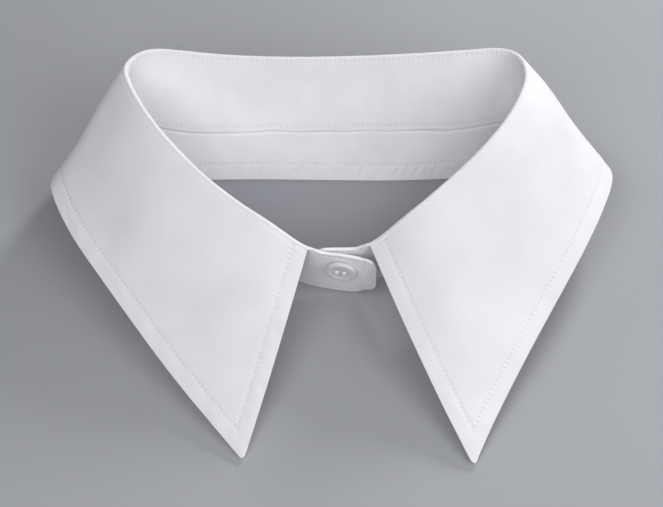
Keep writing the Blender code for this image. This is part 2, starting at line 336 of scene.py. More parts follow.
# The leaf's outer edge at the sections that it covers. crown lifts the cloth near the roll and
# dish sinks it near the edge.
Edge = namedtuple("Edge", "edgeX edgeY edgeZ crown dish")
edges = [
    Edge(-31.7, -122.2, 0.6, 1.0, 0.8),
    Edge(-41.6, -110.9, 3.3, 1.4, 1.0),
    Edge(-55.1, -95.3, 7.1, 2.4, 2.4),
    Edge(-72.3, -73.6, 12.3, 3.4, 3.6),
    Edge(-90.5, -49.0, 17.1, 3.8, 4.2),
    Edge(-105.2, -24.5, 19.7, 2.4, 3.6),
    Edge(-108.4, -14.6, 19.4, 1.8, 3.0),
    Edge(-104.3, 0.5, 12.5, 0.8, 1.4),
    Edge(-93.0, 17.5, 4.5, 0.6, 0.0),
    Edge(-75.5, 32.0, 0.8, 0.6, 0.0),
    Edge(-53.0, 38.0, 0.2, 0.6, 0.0),
    Edge(0.0, 39.6, 0.2, 0.6, 0.0),
    Edge(53.0, 39.4, 0.2, 0.6, 0.0),
    Edge(76.0, 33.5, 0.8, 0.6, 0.0),
    Edge(95.0, 18.5, 5.5, 0.6, 0.0),
    Edge(106.1, 2.0, 14.0, 1.0, 0.4),
    Edge(110.0, -11.5, 19.2, 2.0, 1.4),
    Edge(106.6, -22.6, 20.0, 2.6, 2.0),
    Edge(90.5, -54.4, 16.4, 3.2, 2.4),
    Edge(75.3, -80.8, 11.0, 3.0, 2.2),
    Edge(61.6, -105.8, 5.2, 2.0, 1.6),
    Edge(57.1, -114.7, 2.9, 1.4, 1.0),
    Edge(52.6, -124.5, 0.6, 1.0, 0.6),
]

frontBow = {
    "left": -0.5,      # how far the middle of each front edge bends along the collar's line
    "right": 1.4,
    "reach": 16.0,     # and how far from that edge the bend is felt
}

fold = {
    "radius": 0.55,
    "lift": (0.0, 1.21, 0.74),    # from the sections' axis to the fold's middle
    "pastCrown": 0.45,            # how far the stand's edge reaches over the fold's crown
    "leafTuck": 1.2,              # how far the leaf goes down between the stand's plies
    "easeOver": 6.0,              # past the leaf, the stand's top comes down to the tab over this length
}
leafRise = 0.4          # the leaf starts this far down the stand's slope
seamGap = 0.3           # between sewn pieces
stripTuck = 0.6         # the strip starts this far up behind the stand's lower edge


def columnsOf(rows, *names):
    return np.array([[getattr(row, name) for name in names] for row in rows])


def lengthsOf(vectors):
    return np.linalg.norm(vectors, axis=-1, keepdims=True)


def smoothCurve(knots, values):
    # natural cubic spline, read at an array of distances
    gaps = np.diff(knots)
    slopes = np.diff(values, axis=0) / gaps[:, None]
    system = np.eye(len(knots))
    right = np.zeros(values.shape)
    for i in range(1, len(knots) - 1):
        system[i, i - 1:i + 2] = gaps[i - 1], 2.0 * (gaps[i - 1] + gaps[i]), gaps[i]
        right[i] = 6.0 * (slopes[i] - slopes[i - 1])
    bends = np.linalg.solve(system, right)

    def at(distance):
        i = np.clip(np.searchsorted(knots, distance) - 1, 0, len(knots) - 2)
        gap = gaps[i][:, None]
        ahead = (distance - knots[i])[:, None] / gap
        behind = 1.0 - ahead
        bend = (behind ** 3 - behind) * bends[i] + (ahead ** 3 - ahead) * bends[i + 1]
        return behind * values[i] + ahead * values[i + 1] + bend * gap ** 2 / 6.0

    return at


axisRows = columnsOf(sections, "axisX", "axisY", "axisZ")
knots = np.concatenate([[0.0], np.cumsum(lengthsOf(np.diff(axisRows, axis=0))[:, 0])])
knots -= knots[centreBack]
leafKnots = knots[leftLeafEnd:rightLeafEnd + 1]
axisAt = smoothCurve(knots, axisRows)
footAt = smoothCurve(knots, columnsOf(sections, "footX", "footY"))
edgeAt = smoothCurve(leafKnots, columnsOf(edges, "edgeX", "edgeY", "edgeZ", "crown", "dish"))


def collarLine(u):
    # middle of the roll, level way out, where the stand leaves the roll, its lean, way down, foot
    axis = axisAt(u) + np.array(fold["lift"])
    along = axisAt(u + 0.5) - axisAt(u - 0.5)
    out = np.stack([-along[:, 1], along[:, 0], np.zeros(len(u))], axis=1)
    out /= lengthsOf(out)
    foot = np.column_stack([footAt(u), np.zeros(len(u))])
    lean = np.arctan2(((axis - foot) * out).sum(axis=1), axis[:, 2])[:, None]
    start = axis + fold["radius"] * (np.sin(lean) * up - np.cos(lean) * out)
    down = (foot - start) / lengthsOf(foot - start)
    return axis, out, start, lean, down, foot


def underLeaf(u):
    # 1 where the leaf covers the stand, easing to 0 past the leaf's two ends
    inside = np.minimum(u - leafKnots[0], leafKnots[-1] - u) / fold["easeOver"]
    share = np.clip(1.0 + inside, 0.0, 1.0)
    return share * share * (3.0 - 2.0 * share)


def overFold(u):
    # from the stand's edge, just past the fold's crown, down to where the stand leaves the fold
    return fold["radius"] * (math.pi / 2.0 - collarLine(u)[3][:, 0]) + fold["pastCrown"]


def placeAlong(lines, s):
    # the point at the distance s along each line of points
    steps = lengthsOf(np.diff(lines, axis=1))[:, :, 0]
    reach = np.concatenate([np.zeros((len(lines), 1)), np.cumsum(steps, axis=1)], axis=1)
    index = np.clip((reach <= s[:, None]).sum(axis=1) - 1, 0, lines.shape[1] - 2)
    row = np.arange(len(lines))
    share = ((s - reach[row, index]) / np.maximum(steps[row, index], 1e-6))[:, None]
    return lines[row, index] * (1.0 - share) + lines[row, index + 1] * share


def waves(u, s, size, seed):
    # smooth uneven ups and downs between about -1 and 1, a different set for each seed
    draw = np.random.default_rng(seed)
    total = 0.0
    for _ in range(7):
        turn = draw.uniform(0.0, math.pi)
        pitch = 2.0 * math.pi / (size * draw.uniform(0.7, 1.6))
        total = total + np.sin(pitch * (u * math.cos(turn) + s * math.sin(turn)) + draw.uniform(0.0, 6.3))
    return total / 3.0


Crease = namedtuple("Crease", "u s length width depth turn")


def creasesAt(rows, u, s):
    # soft, slightly bent troughs, or ridges where the depth is negative; turn is in degrees from the
    # way round
    height = 0.0
    for row in rows:
        turn = math.radians(row.turn)
        along = (u - row.u) * math.cos(turn) + (s - row.s) * math.sin(turn)
        across = (s - row.s) * math.cos(turn) - (u - row.u) * math.sin(turn)
        across = across + 0.08 * row.length * np.sin(3.0 * along / row.length)
        height = height - row.depth * np.exp(-(along / row.length) ** 2 - (across / row.width) ** 2)
    return height


def spaced(first, last, step):
    return np.linspace(first, last, max(2, int(round(abs(last - first) / step)) + 1))


def closerAtEnds(first, last, fineStep, wideStep):
    # distances along a piece, closer to each other near its two ends
    reach = 9.0
    near = spaced(0.0, reach, fineStep)
    return np.concatenate([first + near, spaced(first + reach, last - reach, wideStep)[1:-1],
                           last - near[::-1]])


def measureForm(piece, profile, height, wall, rim, inset, ends, deepest):
    # what a piece of cloth is laid on; the profile is read once, at close places, and looked up later
    around = spaced(*ends, 0.5)
    down = spaced(0.0, deepest, 0.25)
    lines = profile(around)
    return {
        "places": np.stack([placeAlong(lines, np.full(len(around), s)) for s in down], axis=1),
        "height": height,
        "wall": wall,
        "rim": rim,
        "inset": inset,
        "first": ends[0],
        "last": ends[1],
        "deepest": deepest,
        "thickness": piece["thickness"],
        "edgeRadius": piece["edgeRadius"],
        "lowest": piece["lowest"],
    }


def bare(form, u, s):
    places = form["places"]
    i = (u - form["first"]) / (form["last"] - form["first"]) * (places.shape[0] - 1)
    j = s / form["deepest"] * (places.shape[1] - 1)
    row = np.clip(i.astype(int), 0, places.shape[0] - 2)
    line = np.clip(j.astype(int), 0, places.shape[1] - 2)
    i, j = (i - row)[:, None], (j - line)[:, None]
    near = places[row, line] * (1.0 - i) + places[row + 1, line] * i
    far = places[row, line + 1] * (1.0 - i) + places[row + 1, line + 1] * i
    return near * (1.0 - j) + far * j


def facing(place, u, s):
    # the normal of the surface that place describes
    reach = 0.3
    across = np.cross(place(u + reach, s) - place(u - reach, s), place(u, s + reach) - place(u, s - reach))
    return across / lengthsOf(across)


def layOn(form, u, s):
    # places on the finished cloth: the middle of the wall, its normal and its share of thickness
    def smooth(u, s):
        return bare(form, u, s)

    def lifted(u, s):
        return smooth(u, s) + facing(smooth, u, s) * form["height"](u, s)[:, None]

    return lifted(u, s), facing(lifted, u, s), form["wall"](u, s)


def roundedCorner(fromEnd, fromSide, radius):
    # bends the corner of a grid of distances into a quarter circle
    p = np.clip(radius - fromEnd, 0.0, None)
    q = np.clip(radius - fromSide, 0.0, None)
    newP = p * np.sqrt(1.0 - q ** 2 / (2.0 * radius ** 2))
    newQ = q * np.sqrt(1.0 - p ** 2 / (2.0 * radius ** 2))
    return fromEnd + p - newP, fromSide + q - newQ


def sewingMap(form, points, u, s, path):
    # how far each point is from the row of stitches, and how many stitches along it
    line, reach, count = stitchLine(form, *path)
    tree = KDTree(len(line))
    for index, spot in enumerate(line):
        tree.insert(spot, index)
    tree.balance()
    side = np.where(form["rim"](u, s) < form["inset"], -1.0, 1.0)
    found = [tree.find(spot) for spot in points]
    across = np.array([min(near[2], stitch["feltWithin"]) for near in found]) * side
    along = np.array([reach[near[1]] for near in found]) * count / reach[-1]
    return np.stack([across, along], axis=1)


def softEdge(piece, width, segments):
    soft = piece.modifiers.new("softEdge", "BEVEL")
    soft.width = width * mm
    soft.segments = segments
    soft.limit_method = "ANGLE"
    soft.angle_limit = math.radians(50.0)


def clothPiece(name, form, u, s, material, path):
    # a flat grid laid on the form, with a wall that thins at its stitches and has rounded edges
    rows, lines = u.shape
    point, _, wall = layOn(form, u.ravel(), s.ravel())

    # in its last millimetre above the table the cloth eases off
    easeFrom = form["lowest"] + 1.0
    eased = form["lowest"] + np.exp(np.minimum(point[:, 2] - easeFrom, 0.0))
    point[:, 2] = np.where(point[:, 2] < easeFrom, eased, point[:, 2])
    sewn = sewingMap(form, point, u.ravel(), s.ravel(), path)
    bm = bmesh.new()
    pattern = bm.loops.layers.uv.new("pattern")
    sewing = bm.loops.layers.uv.new("sewing")
    weights = bm.verts.layers.deform.verify()
    bmesh.ops.create_grid(bm, x_segments=rows - 1, y_segments=lines - 1, size=0.5)
    spots = {}
    for vert in bm.verts:
        row = round((vert.co.x + 0.5) * (rows - 1))
        line = round((vert.co.y + 0.5) * (lines - 1))
        spot = row * lines + line
        spots[vert.index] = ((u[row, line] * mm, s[row, line] * mm), sewn[spot])
        vert[weights][0] = float(wall[spot])
        vert.co = Vector(point[spot] * mm)
    for face in bm.faces:
        face.smooth = True
        for loop in face.loops:
            loop[pattern].uv, loop[sewing].uv = spots[loop.vert.index]
    mesh = bpy.data.meshes.new(name)
    bm.to_mesh(mesh)
    bm.free()
    mesh.materials.append(material)
    piece = bpy.data.objects.new(name, mesh)
    piece.vertex_groups.new(name="wall")
    bpy.context.scene.collection.objects.link(piece)

    thick = piece.modifiers.new("thick", "SOLIDIFY")
    thick.thickness = form["thickness"] * mm
    thick.offset = 0.0
    thick.vertex_group = "wall"
    thick.thickness_vertex_group = 0.0
    softEdge(piece, form["edgeRadius"], 3)
    return piece


def stitchLine(form, u, s):
    # the points along a path of (u, s), their distances along it and its number of stitches
    line, _, _ = layOn(form, u, s)
    reach = np.concatenate([[0.0], np.cumsum(lengthsOf(np.diff(line, axis=0))[:, 0])])
    return line, reach, max(1, int(reach[-1] / stitch["pitch"]))


def runOfStitches(form, u, s, side):
    # the middle, the way ahead and the normal of each stitch
    _, reach, count = stitchLine(form, u, s)
    middles = (np.arange(count) + 0.5) * reach[-1] / count
    step = 0.4
    point, normal, wall = layOn(form, np.interp(middles, reach, u), np.interp(middles, reach, s))
    ends, _, _ = layOn(form, np.interp(middles + step, reach, u), np.interp(middles + step, reach, s))
    begins, _, _ = layOn(form, np.interp(middles - step, reach, u), np.interp(middles - step, reach, s))
    point = point + normal * (side * wall * form["thickness"] / 2.0)[:, None]
    return list(zip(point, ends - begins, normal * side))


def sewnThrough(name, form, path):
    # the same row of stitches on both faces of the cloth
    stitches = runOfStitches(form, *path, 1.0) + runOfStitches(form, *path, -1.0)
    return sewnThread(name, stitches, stitch["length"])


def sewnThread(name, stitches, length):
    # each stitch is a small flattened bead; they are made a few at a time, which is much quicker
    half = (length / 2.0, stitch["width"] / 2.0, stitch["height"] / 2.0)
    atOnce = 40
    size = Matrix.Diagonal((*[part * mm for part in half], 1.0))
    whole = bmesh.new()
    handful = bpy.data.meshes.new("handful")
    for first in range(0, len(stitches), atOnce):
        bm = bmesh.new()
        for point, ahead, normal in stitches[first:first + atOnce]:
            normal = Vector(normal).normalized()
            side = normal.cross(Vector(ahead)).normalized()
            turn = Matrix((side.cross(normal), side, normal)).transposed().to_4x4()
            bmesh.ops.create_uvsphere(bm, u_segments=6, v_segments=5, radius=1.0,
                                      matrix=Matrix.Translation(Vector(point * mm)) @ turn @ size)
        bm.to_mesh(handful)
        bm.free()
        whole.from_mesh(handful)
    bpy.data.meshes.remove(handful)
    return finishedPiece(name, whole, whiteThread)


def finishedPiece(name, bm, material):
    bmesh.ops.recalc_face_normals(bm, faces=bm.faces[:])
    mesh = bpy.data.meshes.new(name)
    bm.to_mesh(mesh)
    bm.free()
    mesh.shade_smooth()
    mesh.set_sharp_from_angle(angle=math.radians(35.0))
    mesh.materials.append(material)
    piece = bpy.data.objects.new(name, mesh)
    bpy.context.scene.collection.objects.link(piece)
    return piece


setUpStudio()
print("studio ready")
whitePoplin = poplin()
whiteThread = cloudyMaterial("sewingThread", thread)
whiteResin = cloudyMaterial("buttonResin", resin)
print("materials ready")


# Leaf: rolls over the stand and falls to two points
leaf = {
    "thickness": 1.15,
    "edgeRadius": 0.32,
    "lowest": 0.6,            # the wall's middle comes no nearer to the table
    "tipRadii": (2.6, 3.2),   # of the left and the right point
    "wall": 0.84,             # this and the next four are shares of the thickness
    "stitchSink": 0.20,
    "edgePuff": 0.16,
    "edgeThin": 0.12,
    "underRim": 0.24,         # the leaf is thinner where it comes out from under the stand's edge
    "rimBelow": 0.3,
    "rimWidth": 0.8,
    "stitchFromEdge": 6.0,
    "sinkWidth": 0.75,
    "puffWidth": 1.9,
    "hemWidth": 2.6,
    "puckerHeight": 0.10,
    "puckerSize": 7.0,
    "waveHeight": 0.28,
    "waveSize": 46.0,
    "calmRoll": 4.0,          # no waves or creases on the roll; they are full this much farther on
    "calmToFull": 10.0,
    "calmEdge": 8.0,
    "fineStep": 0.65,         # between the mesh's lines near the front edges, and elsewhere
    "wideStep": 0.92,
    "rollDepth": 5.2,         # finer rows over the roll and in the hem
    "hemDepth": 9.6,
}
leafCreases = [
    Crease(-150.0, 32.0, 34.0, 11.0, 0.55, 62.0),
    Crease(-128.0, 22.0, 30.0, 9.0, -0.40, 74.0),
    Crease(-112.0, 38.0, 24.0, 8.0, 0.35, 98.0),
    Crease(-96.0, 30.0, 22.0, 7.0, -0.30, 84.0),
    Crease(-168.0, 40.0, 26.0, 9.0, -0.30, 70.0),
    Crease(-60.0, 28.0, 18.0, 8.0, 0.30, 95.0),
    Crease(-20.0, 30.0, 20.0, 10.0, -0.30, 86.0),
    Crease(24.0, 26.0, 22.0, 9.0, 0.35, 97.0),
    Crease(62.0, 30.0, 18.0, 8.0, -0.25, 82.0),
    Crease(98.0, 32.0, 24.0, 8.0, 0.35, 92.0),
    Crease(118.0, 24.0, 30.0, 10.0, -0.35, 104.0),
    Crease(140.0, 40.0, 32.0, 11.0, 0.45, 112.0),
    Crease(160.0, 34.0, 26.0, 9.0, -0.30, 108.0),
]


def leafProfile(u):
    axis, out, start, lean, down, _ = [part[:, None] for part in collarLine(u)]
    values = edgeAt(u)[:, None]
    edge, crown, dish = values[..., :3], values[..., 3:4], values[..., 4:5]
    fall = edge - axis
    slope = np.arctan2(-fall[..., 2:], (fall * out).sum(axis=2, keepdims=True))
    leaving = slope - np.arctan(3.0 * crown / lengthsOf(fall))
    turn = np.linspace(0.0, 1.0, 19)[None, :, None]
    angle = math.pi - lean + (lean - math.pi / 2.0 - leaving) * turn
    roll = axis + fold["radius"] * (np.cos(angle) * out + np.sin(angle) * up)
    top = roll[:, -1:]
    square = np.sin(slope) * out + np.cos(slope) * up
    onward = np.cross(out, up)
    bow = (frontBow["left"] * np.exp(-(u - leafKnots[0]) / frontBow["reach"])
           + frontBow["right"] * np.exp(-(leafKnots[-1] - u) / frontBow["reach"]))[:, None, None] * onward
    upper = top + (edge - top) / 3.0 + crown * square + bow
    lower = top + (edge - top) * 2.0 / 3.0 - dish * square + bow
    part = np.linspace(0.0, 1.0, 41)[None, 1:, None]
    rest = 1.0 - part
    falling = (rest ** 3 * top + 3.0 * rest ** 2 * part * upper
               + 3.0 * rest * part ** 2 * lower + part ** 3 * edge)
    return np.concatenate([start + down * leafRise, roll, falling], axis=1)


# how deep the leaf is, and how its edges run across the pattern, at stations round it
leafStations = np.linspace(leafKnots[0], leafKnots[-1], 400)
leafLines = leafProfile(leafStations)
leafDepths = lengthsOf(np.diff(leafLines, axis=1))[:, :, 0].sum(axis=1)
edgeWay = np.gradient(leafLines[:, -1], axis=0)
fallWay = leafLines[:, -1] - leafLines[:, -6]
edgeSines = (lengthsOf(np.cross(edgeWay, fallWay)) / lengthsOf(edgeWay) / lengthsOf(fallWay))[:, 0]


def frontSpread(end, inside):
    # the real distance for each step of u, square to the front edge, at shares of the depth
    step = leafLines[inside] - leafLines[end]
    way = np.gradient(leafLines[end], axis=0)
    spread = lengthsOf(np.cross(step, way)) / lengthsOf(way) / abs(leafStations[inside] - leafStations[end])
    reach = np.concatenate([[0.0], np.cumsum(lengthsOf(np.diff(leafLines[end], axis=0))[:, 0])])
    return reach, spread[:, 0]


leftSpread = frontSpread(0, 3)
rightSpread = frontSpread(-1, -4)


def leafRims(u, s):
    # distances from the outer edge and from the nearer front edge
    outer = (np.interp(u, leafStations, leafDepths) - s) * np.interp(u, leafStations, edgeSines)
    left = (u - leafKnots[0]) * np.interp(s, *leftSpread)
    right = (leafKnots[-1] - u) * np.interp(s, *rightSpread)
    return outer, np.minimum(left, right)


def leafHeight(u, s):
    outer, front = leafRims(u, s)
    rim = np.minimum(outer, front)
    fromRoll = np.clip((s - leaf["calmRoll"]) / leaf["calmToFull"], 0.0, 1.0)
    loose = fromRoll * np.clip(outer / leaf["calmEdge"], 0.25, 1.0)
    height = leaf["waveHeight"] * loose * waves(u, s, leaf["waveSize"], 3)
    height = height + creasesAt(leafCreases, u, s) * loose
    inHem = np.exp(-((rim - 0.5 * leaf["stitchFromEdge"]) / leaf["hemWidth"]) ** 2) * fromRoll
    return height + leaf["puckerHeight"] * inHem * waves(u + 0.5 * s, 0.6 * s, leaf["puckerSize"], 5)


def leafWall(u, s):
    outer, front = leafRims(u, s)
    rim = np.minimum(outer, front)
    groove = np.exp(-((rim - leaf["stitchFromEdge"]) / leaf["sinkWidth"]) ** 2)
    puff = np.exp(-((rim - 0.5 * leaf["stitchFromEdge"]) / leaf["puffWidth"]) ** 2)
    thin = leaf["edgeThin"] * np.exp(-rim ** 2)
    rimOfStand = np.exp(-((s - leafRise - overFold(u) - leaf["rimBelow"]) / leaf["rimWidth"]) ** 2)
    return np.clip(leaf["wall"] - leaf["stitchSink"] * groove + leaf["edgePuff"] * puff - thin
                   - leaf["underRim"] * rimOfStand, 0.1, 1.0)


def leafStart(u):
    # the leaf starts between the stand's plies, just under the fold's crown
    return underLeaf(u) * np.maximum(leafRise + overFold(u) - fold["leafTuck"], 0.0)


def makeLeaf(path):
    around = closerAtEnds(leafKnots[0], leafKnots[-1], leaf["fineStep"], leaf["wideStep"])
    depth = np.interp(around, leafStations, leafDepths)[:, None]
    first = leafStart(around)[:, None]
    roll = leaf["rollDepth"]
    hem = leaf["hemDepth"]
    s = np.concatenate([first + (roll - first) * np.linspace(0.0, 1.0, 15)[None],
                        roll + (depth - hem - roll) * np.linspace(0.0, 1.0, 50)[None, 1:-1],
                        depth - spaced(hem, 0.0, 0.6)[None]], axis=1)
    u = around[:, None] + 0.0 * s
    leftRadius, rightRadius = leaf["tipRadii"]
    fromLeft, fromEdge = roundedCorner(u - leafKnots[0], depth - s, leftRadius)
    u, s = leafKnots[0] + fromLeft, depth - fromEdge
    fromRight, fromEdge = roundedCorner(leafKnots[-1] - u, depth - s, rightRadius)
    u, s = leafKnots[-1] - fromRight, depth - fromEdge
    return clothPiece("leaf_cloth", leafForm, u, s, whitePoplin, path)


def leafStitchPath():
    # down the left front, along the outer edge and up the right front
    inset = leaf["stitchFromEdge"]
    paths = []
    for end, spread, sign in ((leafKnots[0], leftSpread, 1.0), (leafKnots[-1], rightSpread, -1.0)):
        s = np.linspace(0.8, leafDepths[0 if sign > 0 else -1], 800)
        u = end + sign * inset / np.interp(s, *spread)
        outer, _ = leafRims(u, s)
        paths.append((u[outer > inset], s[outer > inset]))
    u = np.linspace(leafKnots[0], leafKnots[-1], 4000)
    s = np.interp(u, leafStations, leafDepths) - inset / np.interp(u, leafStations, edgeSines)
    _, front = leafRims(u, s)
    edgePath = (u[front > inset], s[front > inset])
    (leftU, leftS), (rightU, rightS) = paths
    return (np.concatenate([leftU, edgePath[0], rightU[::-1]]),
            np.concatenate([leftS, edgePath[1], rightS[::-1]]))


leafForm = measureForm(leaf, leafProfile, leafHeight, leafWall, lambda u, s: np.minimum(*leafRims(u, s)),
                       leaf["stitchFromEdge"], (leafKnots[0], leafKnots[-1]), leafDepths.max() + 1.0)
leafPath = leafStitchPath()
leafCloth = makeLeaf(leafPath)
leafThread = sewnThrough("leaf_thread", leafForm, leafPath)
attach(leafCloth, "root")
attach(leafThread, "root")
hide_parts("collar_leaf")
print("leaf laid and stitched")


# Stand: the band round the neck, with two rounded tabs
stand = {
    "thickness": 1.35,
    "edgeRadius": 0.42,
    "lowest": 0.0,
    # how deep the stand is at places round the collar
    "depths": [(-208.5, 21.6), (-205.8, 24.0), (-203.2, 25.3), (-200.0, 25.8), (-195.0, 25.8),
               (-182.0, 25.6), (-145.0, 25.4), (-110.0, 28.0), (-64.0, 32.4), (-35.0, 30.4),
               (0.0, 29.4), (35.0, 30.4), (64.0, 31.1), (110.0, 27.8), (145.0, 25.0),
               (180.0, 24.4), (204.0, 24.2)],
    "reach": 34.0,            # farther down than its lower edge anywhere
    "hemWave": 0.22,
    "hemWaveSize": 24.0,
    "hemWaveEnds": 130.0,
    "tabCorner": 5.0,
    "wall": 0.94,             # this and the next two are shares of the thickness
    "stitchSink": 0.12,
    "edgeThin": 0.10,
    "stitchFromEdge": 1.5,
    "stitchFromFoot": 2.2,    # round the back; it eases to the edge's distance towards the tabs
    "stitchFootEnds": 170.0,
    "sinkWidth": 0.6,
    "thinWidth": 0.8,
    "puckerHeight": 0.05,
    "puckerSize": 5.5,
    "puckerFromEdge": 1.2,
    "puckerWidth": 1.6,
    "waveHeight": 0.14,
    "waveSize": 34.0,
    "calmEdge": 5.0,
    "fineStep": 0.55,         # between the mesh's lines near the tabs' ends, and elsewhere
    "wideStep": 0.85,
    "topStep": 0.42,          # between its rows along the top edge
    "topDepth": 4.2,
}
standCreases = [
    Crease(-62.0, 13.0, 9.0, 3.0, 0.35, 84.0),
    Crease(-38.0, 12.0, 10.0, 2.6, -0.22, 97.0),
    Crease(-12.0, 16.0, 9.0, 3.0, 0.22, 82.0),
    Crease(14.0, 12.0, 11.0, 2.8, -0.25, 96.0),
    Crease(27.0, 14.0, 12.0, 3.2, 0.35, 88.0),
    Crease(47.0, 13.0, 11.0, 4.0, 0.45, 93.0),
    Crease(68.0, 14.0, 10.0, 4.0, -0.30, 85.0),
    Crease(-110.0, 13.0, 10.0, 4.0, 0.25, 88.0),
    Crease(112.0, 12.0, 10.0, 4.0, 0.25, 95.0),
]


standDepths = np.array(stand["depths"])
depthAt = smoothCurve(standDepths[:, 0], standDepths[:, 1:])


def roundBack(u, end):
    # 1 round the back, easing to 0 at the distance end to each side
    return np.clip((end - abs(u)) / 20.0, 0.0, 1.0)


def standDepth(u):
    # how far down the stand's lower edge is at each place round the collar
    first, last = standDepths[0, 0], standDepths[-1, 0]
    wave = stand["hemWave"] * roundBack(u, stand["hemWaveEnds"]) * waves(u, 0.0 * u, stand["hemWaveSize"], 11)
    return depthAt(np.clip(u, first, last))[:, 0] + wave


def standTop(u):
    # the stand's top edge: at the fold's crown under the leaf, and lower on the tabs
    return (1.0 - underLeaf(u)) * (overFold(u) + leafRise + seamGap)


def standFoot(u):
    return overFold(u) + leafRise + seamGap + standDepth(u)


def standProfile(u):
    # over the fold from just past its crown, then straight down
    axis, out, start, lean, down, _ = [part[:, None] for part in collarLine(u)]
    first = math.pi / 2.0 - fold["pastCrown"] / fold["radius"]
    angle = first + (math.pi - lean - first) * np.linspace(0.0, 1.0, 13)[None, :, None]
    overTop = axis + fold["radius"] * (np.cos(angle) * out + np.sin(angle) * up)
    return np.concatenate([overTop, start + stand["reach"] * down], axis=1)


def standRim(u, s):
    # distance from the edge, which follows the tabs' round corners
    radius = stand["tabCorner"]
    fromEnd = np.minimum(u - knots[0], knots[-1] - u)
    fromSide = np.minimum(s - standTop(u), standFoot(u) - s)
    inCorner = (fromEnd < radius) & (fromSide < radius)
    corner = radius - np.hypot(radius - fromEnd, radius - fromSide)
    return np.where(inCorner, corner, np.minimum(fromEnd, fromSide))


def standHeight(u, s):
    rim = standRim(u, s)
    inside = np.clip(rim / stand["calmEdge"], 0.0, 1.0)
    seam = np.exp(-((rim - stand["puckerFromEdge"]) / stand["puckerWidth"]) ** 2)
    wavy = creasesAt(standCreases, u, s) + stand["waveHeight"] * waves(u, s, stand["waveSize"], 17)
    puckered = stand["puckerHeight"] * seam * waves(u + 0.4 * s, 0.5 * s, stand["puckerSize"], 19)
    return inside * wavy + puckered


def standWall(u, s):
    rim = standRim(u, s)
    groove = np.exp(-((rim - stand["stitchFromEdge"]) / stand["sinkWidth"]) ** 2)
    thin = stand["edgeThin"] * np.exp(-(rim / stand["thinWidth"]) ** 2)
    return np.clip(stand["wall"] - stand["stitchSink"] * groove - thin, 0.1, 1.0)


def makeStand(path):
    around = closerAtEnds(knots[0], knots[-1], stand["fineStep"], stand["wideStep"])
    top, foot = standTop(around)[:, None], standFoot(around)[:, None]
    near = stand["topDepth"]
    s = np.concatenate([top + spaced(0.0, near, stand["topStep"])[None],
                        top + near + (foot - top - near) * np.linspace(0.0, 1.0, 40)[None, 1:]], axis=1)
    u = around[:, None] + 0.0 * s
    radius = stand["tabCorner"]
    for side in (1.0, -1.0):
        end = knots[0] if side > 0 else knots[-1]
        fromEnd, below = roundedCorner(side * (u - end), s - top, radius)
        u, s = end + side * fromEnd, top + below
        fromEnd, above = roundedCorner(side * (u - end), foot - s, radius)
        u, s = end + side * fromEnd, foot - above
    return clothPiece("stand_cloth", standForm, u, s, whitePoplin, path)


def standStitchPath():
    # once round the stand, parallel to its edge, and a little farther in along the foot
    inset = stand["stitchFromEdge"]
    radius = stand["tabCorner"]
    first, last = knots[0], knots[-1]
    places = 3000
    alongFoot = roundBack(np.linspace(last, first, places), stand["stitchFootEnds"])
    furtherIn = (stand["stitchFromFoot"] - inset) * alongFoot
    turn = np.linspace(0.0, math.pi / 2.0, 12)
    arcX, arcY = (radius - inset) * np.sin(turn), (radius - inset) * np.cos(turn)
    around = np.linspace(first + radius, last - radius, places)
    (topA, topB), (footA, footB) = [rule(np.array([first, last])) for rule in (standTop, standFoot)]
    downA = np.linspace(topA + radius, footA - radius, 60)[1:-1]
    downB = np.linspace(topB + radius, footB - radius, 60)[1:-1]
    u = np.concatenate([around, last - radius + arcX, 0.0 * downB + last - inset,
                        last - radius + arcX[::-1], around[::-1],
                        first + radius - arcX, 0.0 * downA + first + inset,
                        first + radius - arcX[::-1]])
    s = np.concatenate([standTop(around) + inset, topB + radius - arcY, downB,
                        footB - radius + arcY[::-1], standFoot(around[::-1]) - inset - furtherIn,
                        footA - radius + arcY, downA[::-1], topA + radius - arcY[::-1]])
    return u, s


standForm = measureForm(stand, standProfile, standHeight, standWall, standRim, stand["stitchFromEdge"],
                        (knots[0], knots[-1]), stand["reach"])
standPath = standStitchPath()
standCloth = makeStand(standPath)
standThread = sewnThrough("stand_thread", standForm, standPath)
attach(standCloth, "root")
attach(standThread, "root")
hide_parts("collar_stand")
print("stand laid and stitched")


# Strip: the tape under the stand, by which the collar is sewn to a garment
strip = {
    "thickness": 0.95,
    "edgeRadius": 0.28,
    "lowest": 0.0,
    "end": 146.0,             # how far it goes to each side
    "reach": 26.0,            # more than its depth anywhere
    "wall": 0.72,             # this and the next two are shares of the thickness
    "hemWall": 0.2,           # added below the stitches, where the cloth is doubled
    "stitchSink": 0.14,
    "sinkWidth": 0.6,
    "stitchAboveFoot": 7.5,
    "puckerHeight": 0.16,
    "puckerSize": 6.5,
    "puckerPitch": 3.7,       # even puckers that the stitches draw up, over the uneven ones
    "puckerDepth": 0.24,
    "puckerAboveFoot": 4.2,
    "puckerWidth": 3.2,
    "waveHeight": 0.12,
    "waveSize": 22.0,
    "behindStand": 1.25,      # how far back the strip lies where the stand's edge covers it
    "forwardBelow": 0.8,      # it comes forward again this far below that edge
    "forwardWave": 0.22,
    "forwardWithin": 0.14,
    "hollow": 0.15,           # a shallow hollow under that edge
    "hollowBelow": 2.6,
    "hollowWidth": 1.2,
    "wideStep": 0.6,          # between the mesh's lines
    "seamStep": 0.2,          # between its rows near the stand's edge
    "seamDepth": 3.0,
}
